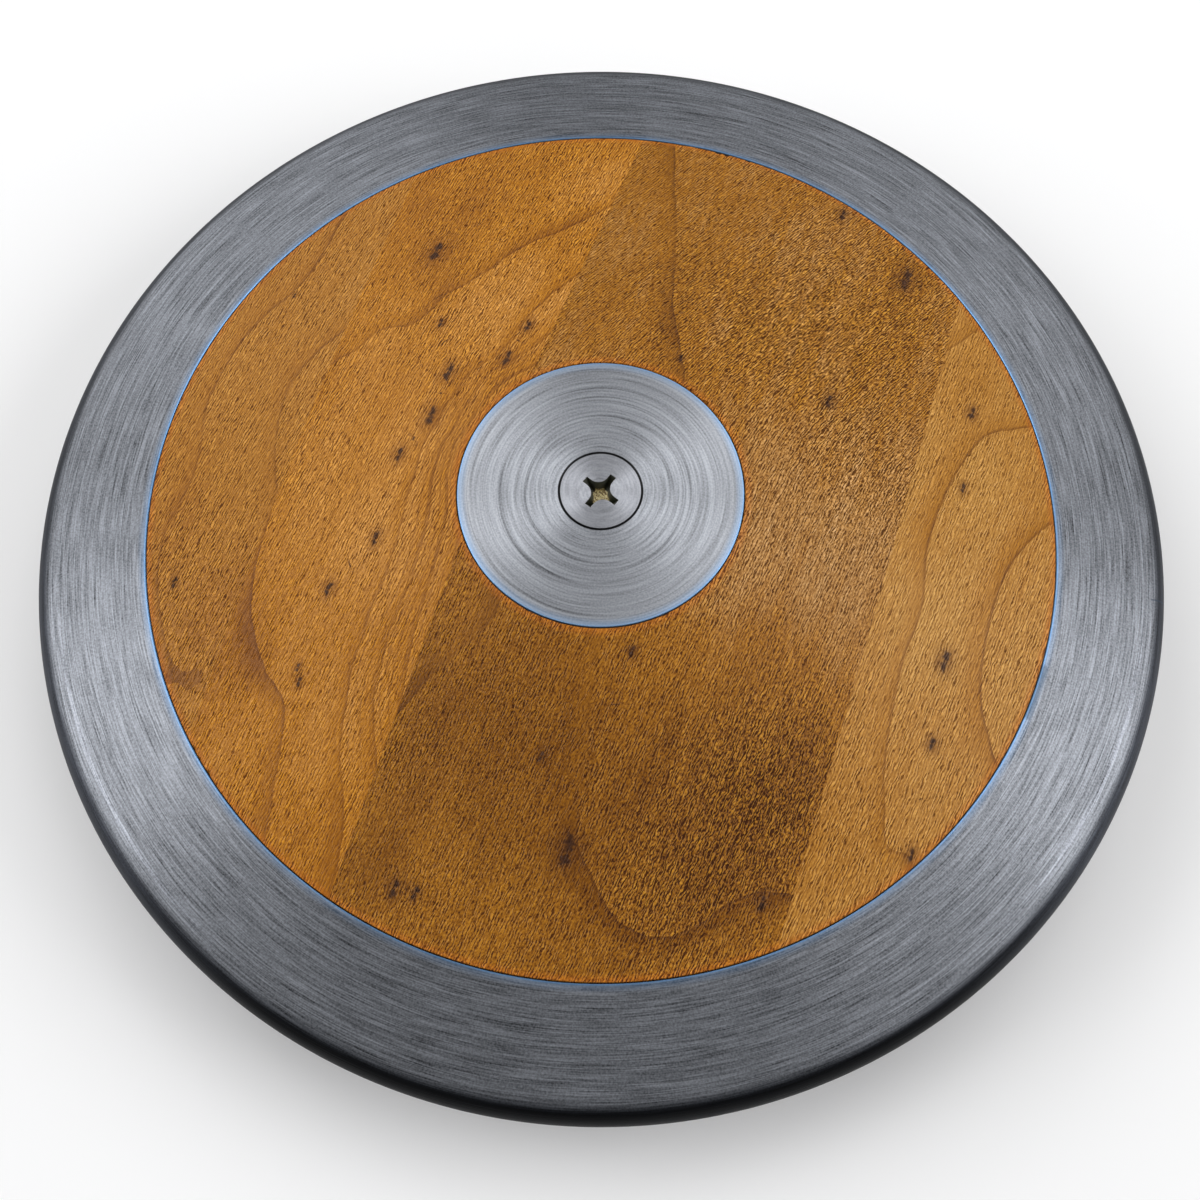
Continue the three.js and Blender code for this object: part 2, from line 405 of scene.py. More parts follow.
def rim_finish():
    """The rim's steel, tinted blue along its inner lip, with a painted dark reflection round the edge. The
    painted reflection is darkest on the side towards the camera, and the shoulder beside it carries a
    painted highlight. A patch of the lip is worn, and a fine nick crosses the edge."""
    rings = (4.2, 1.3, 3.6, 2.1, 0.12)
    finish, tree, shader, marks = turned_steel("rim_steel_turned", rim_grey, 0.88, rings, rim_bump)
    place = parts_of(tree, object_place(tree))
    radius = axis_distance(tree, place)
    along = times(tree, place[1], 1 / MM)
    lip_edge = rim_bore_radius / MM
    lip = falling(tree, radius, lip_edge, lip_edge + lip_width, 0.85)
    haze = falling(tree, radius, lip_edge, lip_edge + lip_haze_width, 0.25)
    steel = mixed(tree, maths(tree, "MAXIMUM", lip, haze), marks.outputs["Colour"], lip_blue)

    right_half = ramped(tree, place[0], 0.0, 10.0 * MM)
    patch = times(
        tree, within(tree, along, *worn_patch, 0.9), right_half,
        falling(tree, radius, worn_patch_reach - 0.5, worn_patch_reach), 0.45)
    steel = mixed(tree, patch, steel, worn_grey)

    # Painted dark reflection: the edge is darker still on the side towards the camera.
    toward_x, toward_y = np.cos(camera_side_bearing) / MM, np.sin(camera_side_bearing) / MM
    toward = maths(tree, "MULTIPLY_ADD", place[0], toward_x, times(tree, place[1], toward_y))
    camera_side_darkening = times(tree, ramped(tree, toward, *dark_reflection_side), ramped(tree, radius, *dark_reflection_edge))
    # Painted dark reflection: the round edge is darkened all round, and darkest on the camera's side.
    painted_dark_reflection = mixed(tree, camera_side_darkening, dark_reflection_grey, darkest_reflection_grey)
    painted_dark_reflection = mixed(tree, 1.0, marks.outputs["Colour"], painted_dark_reflection, "MULTIPLY")
    # Painted highlight: the shoulder is lightened on the two front flanks, where the lamps' highlight falls.
    flank = times(tree, ramped(tree, toward, *flank_rise), falling(tree, toward, *flank_fall))
    shoulder = times(tree, within(tree, radius, *highlight_shoulder, 0.6), flank)
    steel = mixed(tree, shoulder, steel, painted_highlight_gain, "MULTIPLY")
    steel = mixed(tree, ramped(tree, radius, *dark_reflection_band), steel, painted_dark_reflection)

    slanted = maths(tree, "MULTIPLY_ADD", radius, -nick_slope, along)
    aside = maths(tree, "SUBTRACT", slanted, nick_at - nick_slope * nick_radius)
    nick = times(
        tree, within(tree, aside, -nick_half, nick_half, 0.15), right_half,
        ramped(tree, radius, *nick_start), 0.7)
    tree.links.new(mixed(tree, nick, steel, worn_grey), shader.inputs["Base Color"])
    return finish


rim_shape = rim_section()
rim_points = rings_about_axis(rim_shape, even_angles(rim_turns)) + middle
rim_faces = ring_faces(len(rim_shape), rim_turns, closed=True).tolist()
rim = new_piece("rim_turned", rim_points, rim_faces, rim_finish())
keep_values(rim, "across", np.repeat(running_length(rim_shape), rim_turns))
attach(rim, "root")
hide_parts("rim")


# The wooden sides. Each is glued up from four boards of hardwood with the grain along Y, turned to
# the taper as one blank, recessed for the plate and fitted over the rim's web. Two of the joints turn
# a little from the grain, the turned corners are lightly chipped, and small pin knots dot the face.
wood_gap = 0.2 * MM
wood_radius = rim_bore_radius - wood_gap
recess_radius = plate_radius + wood_gap
plate_floor = 18.5 * MM
sleeve_bore_radius = 7.3 * MM
rebate_radius = web_inner_radius - wood_gap
wood_face_steps, wood_turns = 62, 1440
corner_break = 0.1 * MM


def chipping(angle, places, widths, depths, seed):
    """How far a turned corner is broken back at each angle: a fine uneven wear, a sum of waves with
    random phases, and a bell-shaped notch of its own width and depth at each chip's place."""
    waves = np.arange(18, 90, 3)
    phases = np.random.default_rng(seed).uniform(0, 2 * np.pi, len(waves))
    wear = np.sin(waves[:, None] * angle + phases[:, None]).sum(0) / len(waves)
    away = (angle - np.radians(places)[:, None] + np.pi) % (2 * np.pi) - np.pi
    notches = np.array(depths)[:, None] * np.exp(-((away / np.radians(widths)[:, None]) ** 2))
    return corner_break * (1 + 1.6 * np.abs(wear)) + notches.max(0) * MM


# The chips of the outer corner and of the recess's: places and widths in degrees, depths in millimetres.
outer_chips = dict(
    places=[-128.8, -127.3, -125.2, 93.1, 91.9, 88.6, 64, 12, -41, 148, -160],
    widths=[0.3, 0.22, 0.34, 0.4, 0.35, 0.3, 0.25, 0.3, 0.22, 0.3, 0.25],
    depths=[0.35, 0.25, 0.38, 0.35, 0.4, 0.25, 0.18, 0.16, 0.18, 0.2, 0.16], seed=3)
inner_chips = dict(
    places=[62, 70, 78, 55, 130, -45, -100, -150], widths=[1.6, 1.2, 1, 0.9, 1, 1.2, 0.8, 0.9],
    depths=[0.5, 0.35, 0.42, 0.3, 0.25, 0.2, 0.2, 0.2], seed=5)


def blank_rings():
    """One wooden side before it is parted, as rings about the axis from the sleeve's bore along the
    bottom, up the outside, in over the face and down into the plate's recess. The two corners of the
    face are broken back by the chipping at each angle."""
    angle = even_angles(wood_turns)
    outer = chipping(angle, **outer_chips)
    inner = chipping(angle, **inner_chips)
    share = np.linspace(0, 1, wood_face_steps)[:, None]
    across = (wood_radius - outer) * (1 - share) + (recess_radius + inner) * share
    return rings_about_axis([
        (sleeve_bore_radius, 0),
        (rebate_radius, 0),
        (rebate_radius, web_half),
        (wood_radius, web_half),
        (wood_radius, face_height(wood_radius) - 1.5 * outer),
        *zip(across, face_height(across)),
        (recess_radius, face_height(recess_radius) - 1.5 * inner),
        (recess_radius, plate_floor),
        (sleeve_bore_radius, plate_floor),
    ], angle)


growth_stiffness = 1.0
lowest_pace = 0.015


def thin_plate(points, known, levels):
    """The smoothest surface through known levels: a tilted plane, plus for each known place a term
    r² log r in the distance r from it. The weights are solved for, and a little stiffness is added."""
    def terms(places):
        """What each place takes from the known ones, and from the plane."""
        away = places[:, None, :2] - known[None, :, :2]
        gap = np.hypot(away[..., 0], away[..., 1]) + 1e-9
        return gap ** 2 * np.log(gap), np.column_stack([np.ones(len(places)), places[:, :2]])

    bent, plane = terms(known)
    bent = bent + growth_stiffness * np.eye(len(known))
    system = np.block([[bent, plane], [plane.T, np.zeros((3, 3))]])
    weights = np.linalg.solve(system, np.concatenate([levels, np.zeros(3)]))
    bent, plane = terms(points)
    return bent @ weights[:-3] + plane @ weights[-3:]


def growth_field(points, board):
    """The count of growth lines passed at each place of a board, in millimetres from the middle. It is
    the smooth surface on which each drawn line lies at its own level."""
    known = np.concatenate([np.array(line, float) for line, _ in board["lines"]])
    level = np.concatenate([np.full(len(line), float(number)) for line, number in board["lines"]])
    return thin_plate(points, known, level)


def growth_pace(points, board):
    """How many growth lines are passed in a millimetre: the steepness of the growth field, measured
    between places half a millimetre ahead and behind, across the grain and along it."""
    slopes = [
        growth_field(points + shift, board) - growth_field(points - shift, board)
        for shift in 0.5 * np.eye(2, 3)]
    return np.maximum(np.hypot(*slopes), lowest_pace)


def zone_sum(points, zones):
    """A sum of bells: each zone stands at (x, y), reaches so far, and adds its amount at its middle."""
    x, y, reach, amount = np.array(zones, float).reshape(-1, 4).T
    square = (points[:, None, 0] - x) ** 2 + (points[:, None, 1] - y) ** 2
    return np.exp(-square / reach ** 2) @ amount


def nearest_knot(points, knots):
    """For each place, the way to its nearest knot in units of that knot's own size: longer along the
    grain than across it."""
    centre = np.array([knot[:2] for knot in knots])
    size = np.array([knot[2] for knot in knots])
    away = (points[:, None, :2] - centre[None]) / (size[None, :, None] * np.array([1.0, 1.5]))
    closest = np.argmin((away ** 2).sum(-1), 1)
    return away[np.arange(len(points)), closest]


# What the figure is given: what is drawn on each board, and each board's own values and colours.
drawn_values = ("growth", "pace", "tone", "raised", "hush", "sweep")
board_values = ("fibre", "nap", "rings", "shift")
board_colours = ("colour", "pale", "deep", "line")
fibre_lean = 0.1
fibres_per_mm = 1.9
corner_orange = shown_colour(176, 98, 24)
knot_heart = shown_colour(54, 29, 13)
outer_orange_band, recess_orange_band = (85.0, 86.5), (26.6, 28.4)


def hardwood_figure():
    """The look of turned hardwood: broad bands of colour along the grain, growth lines that darken
    slowly and end sharply, short raised fibres left by the sanding, fine pores and pin knots."""
    group, given = new_group("hardwood_figure", [
        *[(name.title(), "number", 0.0) for name in (*drawn_values, *board_values)],
        *[(name.title(), "colour", (0.4, 0.2, 0.05, 1.0)) for name in board_colours],
        ("Knot", "vector", (9.0, 9.0, 0.0)),
    ])

    # Short names for this group's own sums.
    def by(value, *factors):
        return times(group, value, *factors)

    def less(value, amount):
        return maths(group, "SUBTRACT", value, amount)

    def added(first, *others):
        for other in others:
            first = maths(group, "ADD", first, other)
        return first

    # The place in millimetres, moved aside for each board, and once more leaning as the fibres do.
    in_metres = object_place(group)
    parts = parts_of(group, in_metres)
    shift = stacked(group, given["Shift"], given["Shift"], 0.0)
    place = vector_maths(group, "MULTIPLY_ADD", in_metres, (1 / MM, 1 / MM, 1 / MM), shift)[0]
    aside = maths(group, "MULTIPLY_ADD", parts[1], -fibre_lean / MM, given["Sweep"])
    leaned = vector_maths(group, "ADD", place, stacked(group, aside, 0.0, 0.0))[0]

    def grain(across, along, detail=2.0, roughness=0.5, source=place):
        """Noise whose spots measure 1/across by 1/along millimetres, spread about nought."""
        scaled = vector_maths(group, "MULTIPLY", source, (across, along, across))[0]
        return less(clouded(group, scaled, 1.0, detail, roughness), 0.5)

    # Growth lines: each darkens over 7 mm and ends in a thin line, with fainter ones where they crowd.
    wander = by(maths(group, "MINIMUM", given["Pace"], 0.2), by(grain(0.35, 0.06), 1.2))
    passed = added(given["Growth"], wander)
    before = maths(group, "DIVIDE", less(1.0, maths(group, "FRACT", passed)), given["Pace"])
    rise = maths(group, "POWER", falling(group, before, 0.0, 7.0), 2.0)
    fade = ramped(group, grain(0.02, 0.03), -0.12, 0.12, 0.6, 1.0)
    fade = by(fade, falling(group, given["Hush"], 0.2, 0.8))
    line = by(falling(group, before, 0.15, 0.75), ramped(group, grain(0.5, 0.2), -0.2, 0.1, 0.55, 1.0))
    between = maths(group, "FRACT", maths(group, "MULTIPLY_ADD", passed, 3.0, 0.4))
    before_faint = maths(group, "DIVIDE", less(1.0, between), by(given["Pace"], 3.0))
    faint = by(falling(group, before_faint, 0.1, 0.4), ramped(group, given["Pace"], 0.08, 0.2))

    # Tone: bands and streaks along the grain, cloudy patches, and the growth lines.
    bands = grain(0.16, 0.010, 3.0)
    patches = by(grain(0.05, 0.03), 0.5)
    streaks = by(grain(0.9, 0.09), 0.9)
    ringed = by(less(0.06, rise), given["Rings"])
    tone = added(given["Tone"], bands, patches, streaks, by(ringed, fade))
    colour = mixed(group, tone, given["Colour"], given["Pale"])
    colour = mixed(group, by(tone, -1.0), colour, given["Deep"])
    colour = mixed(group, by(line, fade, 0.75), colour, given["Line"])
    colour = mixed(group, by(faint, 0.4), colour, given["Line"])

    # Orange: the wood turns a deeper orange near its two turned corners.
    radius = axis_distance(group, parts)
    outer, inner = ramped(group, radius, *outer_orange_band), falling(group, radius, *recess_orange_band)
    colour = mixed(group, by(maths(group, "MAXIMUM", outer, inner), 0.55), colour, corner_orange)

    # Knots: a blotted halo, and a dark heart of two leaves end to end along the grain.
    blot = add_node(group, "ShaderNodeTexNoise", {"Vector": place, "Scale": 0.9, "Detail": 2.0}).outputs[1]
    blot = vector_maths(group, "SUBTRACT", blot, (0.5, 0.5, 0.5))[0]
    bent = vector_maths(group, "MULTIPLY_ADD", blot, (1.8, 1.8, 0.0), given["Knot"])[0]
    reach = vector_maths(group, "LENGTH", bent)["Value"]
    beside, ahead = parts_of(group, bent)[:2]
    leaf = less(maths(group, "ABSOLUTE", ahead), 0.75)
    heart = maths(group, "SQRT", maths(group, "MULTIPLY_ADD", beside, beside, by(leaf, leaf)))
    core = falling(group, heart, 0.35, 1.15)
    colour = mixed(group, by(falling(group, reach, 0.8, 4.2), 0.5), colour, given["Line"])
    colour = mixed(group, by(core, 0.92), colour, knot_heart)

    # Fibres: ripples that curl and break off, over a fine nap with dark pores.
    curl = maths(group, "MULTIPLY_ADD", less(given["Raised"], 1.0), 0.9, 2.3)
    across = by(parts_of(group, leaned)[0], fibres_per_mm)
    turns = maths(group, "MULTIPLY_ADD", grain(1.3, 0.4, 2.0, 0.6, leaned), curl, across)
    lying = maths(group, "SINE", by(turns, 2 * np.pi))
    length = ramped(group, grain(1.8, 0.5, 1.0, 0.5, leaned), -0.14, 0.12, 0.25, 1.0)
    fibre = by(lying, length, given["Fibre"])
    nap = by(grain(3.4, 2.0, 1.0, 0.6, leaned), given["Nap"])
    raised = added(given["Raised"], by(grain(0.07, 0.05), 0.9), by(rise, -0.4))
    texture = by(added(fibre, nap), maths(group, "MAXIMUM", raised, 0.4))
    pores = by(ramped(group, grain(2.4, 0.22, 0.0, 0.5, leaned), 0.23, 0.32), -0.12)
    shade = maths(group, "MAXIMUM", added(texture, pores, 1.0), 0.2)
    # The fibres' own light and dark, with blue raised most where they are light: a painted sheen on the light
    # fibres.
    fibre_tone_and_sheen = [maths(group, "POWER", shade, power) for power in (0.85, 1.05, 1.6)]
    colour = mixed(group, 1.0, colour, stacked(group, *fibre_tone_and_sheen), "MULTIPLY")
    rough = maths(group, "MAXIMUM", maths(group, "MULTIPLY_ADD", texture, -0.35, 0.38), 0.28)
    height = less(texture, added(by(core, 0.5), by(line, 0.05)))
    add_node(group, "NodeGroupOutput", {"Colour": colour, "Roughness": rough, "Height": height})
    return group


figure_group = hardwood_figure()
wood_texture_depth = 0.045 * MM


def board_finish(board):
    """One board's hardwood, rubbed with oil, so that it shines only a little."""
    finish, tree, shader = new_finish(board["slot"] + "_hardwood")
    figure = add_node(tree, "ShaderNodeGroup", node_tree=figure_group)
    feed_inputs(tree, figure, {
        **{name.title(): kept_values(tree, name) for name in drawn_values},
        **{name.title(): board[name] for name in board_values},
        **{name.title(): shown_colour(*board[name]) for name in board_colours},
        "Knot": kept_values(tree, "knot", "Vector"),
    })
    bump = add_node(tree, "ShaderNodeBump", {
        "Strength": 1.0, "Distance": wood_texture_depth, "Height": figure.outputs["Height"]})
    feed_inputs(tree, shader, {
        "Base Color": figure.outputs["Colour"], "Roughness": figure.outputs["Roughness"],
        "Normal": bump.outputs[0], "Specular IOR Level": 0.2,
        "Anisotropic": 0.85, "Anisotropic Rotation": across_rings,
    })
    return finish


# Each joint: how far it passes from the middle, in millimetres, and how far it turns from the grain,
# in degrees.
board_joints = [
    dict(at=-59.2, turn=2.9),
    dict(at=-20.5, turn=0.0),
    dict(at=54.2, turn=1.6),
]

# What each board shows: its colours as a screen shows them, growth lines as rows of (x, y) with their
# level, pin knots as (x, y, size), and zones as (x, y, reach, amount) of lighter (above nought) or
# deeper tone, of raised fibre, and of hushed growth lines.
boards = [
    dict(
        slot="outer_board", number=1, shift=31,
        colour=(163, 107, 34), pale=(176, 121, 49), deep=(144, 88, 19), line=(106, 60, 12),
        fibre=0.74, nap=1.1, rings=0.5, sweep=0,
        lines=[
            ([(-86, 20), (-86, -20)], -7), ([(-72.5, 44), (-79, 15), (-80, -5), (-77, -30)], -6),
            ([(-61, 30)], -5.3), ([(-66, -60), (-63.7, -57.7), (-61, -54.3), (-57.9, -54.2)], -6),
            ([(-57, -30)], -5.3),
        ],
        knots=[(-70.8, -39.9, 0.45), (-74, 24, 0.25)],
        tones=[(-76, 3, 20, 0.3), (-75, -30, 25, -0.1), (-62, 30, 10, 0.2), (-62, -42, 9, -0.4)],
        raised=[(-75, -40, 20, 0.3)],
        hush=[],
    ),
    dict(
        slot="golden_board", number=2, shift=7,
        colour=(168, 107, 22), pale=(183, 124, 50), deep=(128, 74, 8), line=(108, 60, 12),
        fibre=0.74, nap=1.3, rings=0.75, sweep=0,
        lines=[
            ([(-18.4, 67.9), (-26.6, 55.3), (-33.4, 47.7), (-41, 34.9), (-45, 27.6), (-53.2, 20.4),
              (-56, 14.9), (-59.6, 9.2), (-59.3, 2.8), (-59.5, -4.5), (-59, -11.5), (-58, -21.4),
              (-56.7, -30.2), (-53, -42), (-47, -50), (-40.5, -56), (-37, -69.1), (-35.3, -78.1)], -4),
            ([(-28.4, 20), (-31.5, 15.3), (-32.3, 11.3), (-33.6, 6.4), (-34.3, -0.1), (-33.6, -7.6),
              (-33.3, -12.5), (-31.9, -21.9), (-31.6, -26.6), (-31.8, -32.1), (-31.5, -38.9),
              (-30, -50.6), (-27.6, -60.6), (-22.8, -70.2)], -3),
            ([(-27.3, 17.4), (-28.9, 13.1), (-29.9, 7.3), (-30.1, 1.9), (-30.4, -3.4), (-29.4, -9.9),
              (-27.8, -16), (-27, -22.1), (-26.6, -29), (-26.9, -36.5), (-25.5, -48.5)], -2),
            ([(-28.7, 0.5), (-27.7, -6.1), (-25.3, -12.1), (-23.9, -19.7), (-23.2, -25.7),
              (-22.8, -34.8)], -1),
            ([(-60, 50), (-50, 66)], -4.5), ([(-38, 28), (-46, 5), (-46, -15), (-43, -35)], -3.5),
        ],
        knots=[
            (-50, 41.8, 0.95), (-42, 25.1, 0.5), (-25.3, 29, 0.6), (-26.3, 20.6, 0.7), (-36, 14.6, 0.8),
            (-35.6, 4.5, 0.85), (-38.4, -4.6, 0.65), (-36.3, -21.5, 0.6), (-41.2, -33, 0.6),
            (-41.1, -48.1, 0.35), (-39.8, -50.5, 0.4),
        ],
        tones=[
            (-42, -5, 26, 0.45), (-25, 70, 24, -0.2), (-48, 50, 18, -0.25), (-21, 68, 11, 0.9),
            (-50, -45, 20, -0.1), (-34, -23, 14, 0.35), (-33, -55, 14, 0.7), (-43, 32, 11, 0.4),
            (-26, 36, 14, 0.7), (-55, -50, 8, -0.45), (-50, 36, 9, -0.5), (-59, 5, 6, -0.2),
            (-43, -58, 10, -0.35), (-22, -72, 10, -0.1), (-31, -1, 10, 0.4), (-34, -23, 10, 0.5),
        ],
        raised=[(-25, 60, 25, 0.3), (-30, 15, 14, 0.2)],
        hush=[],
    ),
    dict(
        slot="brown_board", number=3, shift=53,
        colour=(149, 95, 20), pale=(166, 120, 64), deep=(114, 67, 5), line=(84, 46, 10),
        fibre=0.8, nap=2.5, rings=0.75, sweep=0.35,
        lines=[
            ([(-10.6, 75.8), (-3.6, 54.6), (-1, 44.8), (2.5, 37.3), (5.3, 31.7), (10, -28), (14, -46),
              (18.4, -62), (27, -70.1), (38.4, -69.9), (43.4, -64.7), (49.3, -58.1)], 1),
            ([(-9.7, -28.8), (-15.3, -39.1), (-18.8, -47.1), (-23, -56), (-28, -67)], 0),
            ([(14.8, -70)], 0.7), ([(-16, -75)], 0.3), ([(10, -82)], 0.5),
            ([(50, 0), (48, 40), (35, -35)], 1.6), ([(25, 55)], 1.4),
        ],
        knots=[
            (24.4, 80.1, 0.6), (40.8, 69.1, 1.1), (34.1, 34.1, 0.65), (5, 31.6, 0.35), (51, -59.4, 0.6),
            (15.5, -26.9, 0.45), (16.3, -62.9, 1.2), (-10.1, -78.8, 0.7), (-6.3, -78.3, 0.55),
            (6.5, -49.3, 0.45),
        ],
        tones=[
            (42, 2, 24, 0.8), (-5, -50, 34, -0.62), (25, -62, 24, -0.4), (5, 70, 22, 0.05),
            (46, -40, 15, -1), (38, -18, 9, -0.4), (0, -72, 10, 0.25), (44, -60, 10, -0.45),
            (-19, -77, 8, -0.55),
        ],
        raised=[
            (45, -42, 13, 1.5), (36, -62, 13, 1), (44, 22, 14, 0.5), (28, 55, 26, 0.9),
            (16, 43, 14, 0.5),
        ],
        hush=[(11, -34, 15, 1), (14, -50, 12, 0.8), (-2, 58, 26, 0.5), (-14, -36, 9, 0.6)],
    ),
    dict(
        slot="pale_board", number=4, shift=90,
        colour=(169, 116, 46), pale=(182, 133, 64), deep=(154, 99, 22), line=(98, 54, 12),
        fibre=0.66, nap=1, rings=1.1, sweep=0,
        lines=[
            ([(73.2, 46.6), (65, 40.3), (62.1, 32.8), (60.5, 24), (60.7, 10.2), (62, -7.5),
              (62.9, -20.5), (66.6, -36.8), (69.1, -42.9), (73.4, -42.9)], 5),
            ([(54.5, 0)], 4.3), ([(84, 0)], 6.5),
        ],
        knots=[
            (61, 44, 0.6), (63.3, 27.3, 0.45), (69.2, -7.1, 0.8), (71.2, -22.5, 0.55),
            (73.3, -42.5, 0.55),
        ],
        tones=[
            (68, -8, 26, 0.4), (57, -46, 13, -0.5), (70, -17, 9, -0.3), (62, 50, 12, -0.2),
            (62, 33, 12, 0.25), (62, -2, 14, 0.3),
        ],
        raised=[(58, -40, 16, 0.2)],
        hush=[],
    ),
]


sweep_start, sweep_softness = 26.0, 6.0


def soft_step(along):
    """How far a place lies beyond the start of the sweeping grain, with a soft start: s ln(1 + e^(t/s))
    in the distance t past the start and the softness s."""
    return sweep_softness * np.log1p(np.exp((along - sweep_start) / sweep_softness))


def parted(points, faces, left, right):
    """The part of the blank between two joints: what lies beyond each is cut away and the cut closed.
    A joint is an upright plane that faces away from the boards on its left."""
    mesh = bpy.data.meshes.new("blank")
    mesh.from_pydata(points.reshape(-1, 3).tolist(), [], faces)
    cut = bmesh.new()
    cut.from_mesh(mesh)
    bpy.data.meshes.remove(mesh)
    for joint, beyond in ((left, -1), (right, 1)):
        if joint is None:
            continue
        turn = np.radians(joint["turn"])
        facing = Vector((np.cos(turn), np.sin(turn), 0.0))
        found = bmesh.ops.bisect_plane(
            cut, geom=[*cut.verts, *cut.edges, *cut.faces], dist=1e-7, plane_no=facing,
            plane_co=(joint["at"] * MM, 0.0, 0.0), clear_outer=beyond > 0, clear_inner=beyond < 0)
        edges = [part for part in found["geom_cut"] if isinstance(part, bmesh.types.BMEdge)]
        bmesh.ops.triangle_fill(cut, use_beauty=True, edges=edges, normal=facing * beyond)
    bmesh.ops.recalc_face_normals(cut, faces=cut.faces)
    return cut


def make_board(side, board):
    """One board of one side. The lower side is the upper one turned over about the grain. The shine
    follows the rings of the lathe, because every board has the whole disc's texture space."""
    walls = [None, *board_joints, None]
    cut = parted(blank, blank_faces, walls[board["number"] - 1], walls[board["number"]])
    name = f"{side}_board_{board['number']}"
    mesh = bpy.data.meshes.new(name + "_turned")
    cut.to_mesh(mesh)
    cut.free()
    points = np.array([vertex.co for vertex in mesh.vertices])
    placed = points if side == "upper" else points * (-1, 1, -1)
    mesh.vertices.foreach_set("co", (placed + middle).astype(np.float32).ravel())
    mesh.use_auto_texspace = False
    mesh.texspace_location = middle
    mesh.texspace_size = (disc_radius, disc_radius, half_thickness)
    mesh.update()
    piece = placed_piece(mesh, finishes[board["slot"]])

    drawn = points / MM * (1, 1 if side == "upper" else -1, 1)
    drawings = dict(
        growth=growth_field(drawn, board), tone=zone_sum(drawn, board["tones"]),
        raised=1 + zone_sum(drawn, board["raised"]), pace=growth_pace(drawn, board),
        hush=zone_sum(drawn, board["hush"]), sweep=-board["sweep"] * soft_step(drawn[:, 1]))
    for drawing, values in drawings.items():
        keep_values(piece, drawing, values)
    knot = np.pad(nearest_knot(drawn, board["knots"]), ((0, 0), (0, 1)))
    kept = mesh.attributes.new("knot", "FLOAT_VECTOR", "POINT")
    kept.data.foreach_set("vector", knot.astype(np.float32).ravel())

    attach(piece, "root")
    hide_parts(name)


blank = blank_rings()
blank_faces = ring_faces(len(blank), wood_turns, closed=True)[:, ::-1].tolist()
finishes = {board["slot"]: board_finish(board) for board in boards}
for side in ("upper", "lower"):
    for board in boards:
        make_board(side, board)


# The centre plates, two steel discs let into the wood flush with its face. Each is faced on the
# lathe in one pass from the middle outwards, and countersunk for its screw.
plate_head_radius = 7.8 * MM
plate_hole_radius = 4.3 * MM
head_depth = 3.5 * MM
plate_corner = 0.08 * MM
plate_steps, plate_turns = 40, 360


def plate_section():
    """The plate's section once round: up its rim, in over its face, and down the conical seat."""
    across = np.linspace(plate_radius - plate_corner, plate_head_radius + plate_corner, plate_steps)
    face = np.column_stack([across, np.full(plate_steps, half_thickness)])
    return np.concatenate([
        [[plate_hole_radius, plate_floor], [plate_radius, plate_floor]],
        [[plate_radius, half_thickness - plate_corner]], face,
        [[plate_head_radius, half_thickness - plate_corner]],
        [[plate_hole_radius, half_thickness - head_depth]],
    ])


plate_bump = 0.014 * MM
plate_grey = shown_colour(151, 154, 160)
plate_blue = shown_colour(132, 178, 226)
seam_grease = shown_colour(22, 20, 18)


def plate_finish():
    """The plate's brighter steel, with the same blue tint along its outer edge."""
    rings = (2.6, 1.0, 0.5, 1.3, 0.3)
    finish, tree, shader, marks = turned_steel("plate_steel_faced", plate_grey, 0.9, rings, plate_bump)
    radius = axis_distance(tree, parts_of(tree, object_place(tree)))
    plate_edge = plate_radius / MM
    edge = ramped(tree, radius, plate_edge - lip_width, plate_edge, 0.0, 0.85)
    haze = ramped(tree, radius, plate_edge - lip_haze_width, plate_edge, 0.0, 0.4)
    blue = mixed(tree, maths(tree, "MAXIMUM", edge, haze), marks.outputs["Colour"], plate_blue)
    seat_edge = plate_head_radius / MM
    seam = falling(tree, radius, seat_edge + 0.02, seat_edge + 0.1, 0.9)
    tree.links.new(mixed(tree, seam, blue, seam_grease), shader.inputs["Base Color"])
    return finish


plate_shape = plate_section()
plate_steel = plate_finish()
for side, over in (("upper", 1), ("lower", -1)):
    points = rings_about_axis(plate_shape, even_angles(plate_turns)) * (over, 1, over) + middle
    faces = ring_faces(len(plate_shape), plate_turns, closed=True)[:, ::-1]
    plate = new_piece(f"{side}_plate_faced", points, faces.tolist(), plate_steel)
    keep_values(plate, "across", np.repeat(running_length(plate_shape), plate_turns))
    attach(plate, "root")
    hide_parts(f"{side}_plate")


# The screws, two countersunk machine screws with a cross recess. They draw the plates together
# through the sleeve, and are faced off flush once they are in. The recess is near black on its
# walls, flecked with olive, with bright brass-coloured filings in its lower half.
head_radius = 7.5 * MM
shank_radius = 4.0 * MM
screw_length = 16.0 * MM
tip_chamfer = 0.8 * MM
head_corner = 0.07 * MM
recess_reach = 3.75 * MM
recess_wing_half = 0.625 * MM
recess_core_radius = 1.75 * MM
recess_depth = 3.0 * MM
recess_bottom_share = 0.68
recess_cone_depth = 0.7 * MM
recess_turn = np.radians(-19.2)
flank_centre = (recess_core_radius - recess_wing_half) / (np.sqrt(2) - 1)
recess_lip = 0.05 * MM
recess_lip_drop = 0.06 * MM
wing_end_steps, wing_side_steps, flank_steps = 6, 8, 23
recess_wall_steps = 9
recess_floor_shares = (0.25, 0.6, 0.9, 1.0)
head_shares = (0.15, 0.35, 0.6, 0.85)


def recess_reach_at(angle):
    """How far the cross reaches at an angle. Within a wing it ends square, then comes the wing's side,
    and then the hollow flank, an arc about a centre on the diagonal that comes in to the core."""
    folded = np.abs((angle - recess_turn + np.pi / 4) % (np.pi / 2) - np.pi / 4)
    flank_radius = flank_centre - recess_wing_half
    cosine, sine = np.cos(folded), np.maximum(np.sin(folded), 1e-9)
    toward = flank_centre * (cosine + sine)
    flank = toward - np.sqrt(np.maximum(toward ** 2 - 2 * flank_centre ** 2 + flank_radius ** 2, 0))
    side = recess_wing_half / sine
    return np.minimum(recess_reach / cosine, np.where(side * cosine > flank_centre, side, flank))


